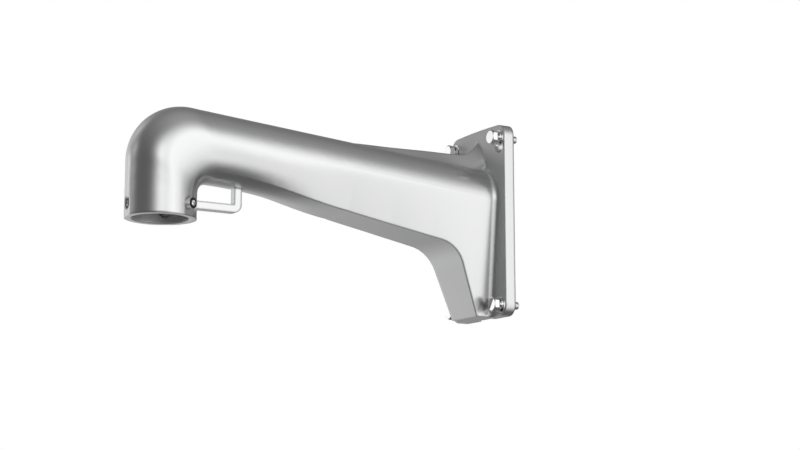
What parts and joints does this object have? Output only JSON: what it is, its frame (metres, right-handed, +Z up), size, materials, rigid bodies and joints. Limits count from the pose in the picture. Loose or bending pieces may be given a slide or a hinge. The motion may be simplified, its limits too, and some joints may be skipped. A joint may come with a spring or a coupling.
{
  "type": "camera wall bracket",
  "caption": "Hollow cast arm on a wall plate that carries a camera from a clamped collar at its downturned end, with a hook for a safety cable.",
  "frame": {"origin": "centre of the four wall bolts, on the back of the wall plate", "axes": "+Y out of the back of the plate into the wall, the arm reaches along -Y, +Z up, X across"},
  "size_m": [0.098, 0.3996, 0.1954],
  "materials": {
    "cast_aluminium": "satin silver paint over a smooth casting",
    "bright_steel": "bright stainless",
    "black_steel": "black oxide"
  },
  "bodies": {
    "root": {"bracket_body": "cast_aluminium", "collar_screw_front": "black_steel", "collar_screw_left": "black_steel", "collar_screw_right": "black_steel", "plate_bolt_top_right": "bright_steel", "plate_bolt_top_left": "bright_steel", "plate_bolt_bottom_right": "bright_steel", "plate_bolt_bottom_left": "bright_steel", "spring_washer_top_right": "bright_steel", "spring_washer_top_left": "bright_steel", "spring_washer_bottom_right": "bright_steel", "spring_washer_bottom_left": "bright_steel", "flat_washer_top_right": "bright_steel", "flat_washer_top_left": "bright_steel", "flat_washer_bottom_right": "bright_steel", "flat_washer_bottom_left": "bright_steel"}
  },
  "joints": []
}
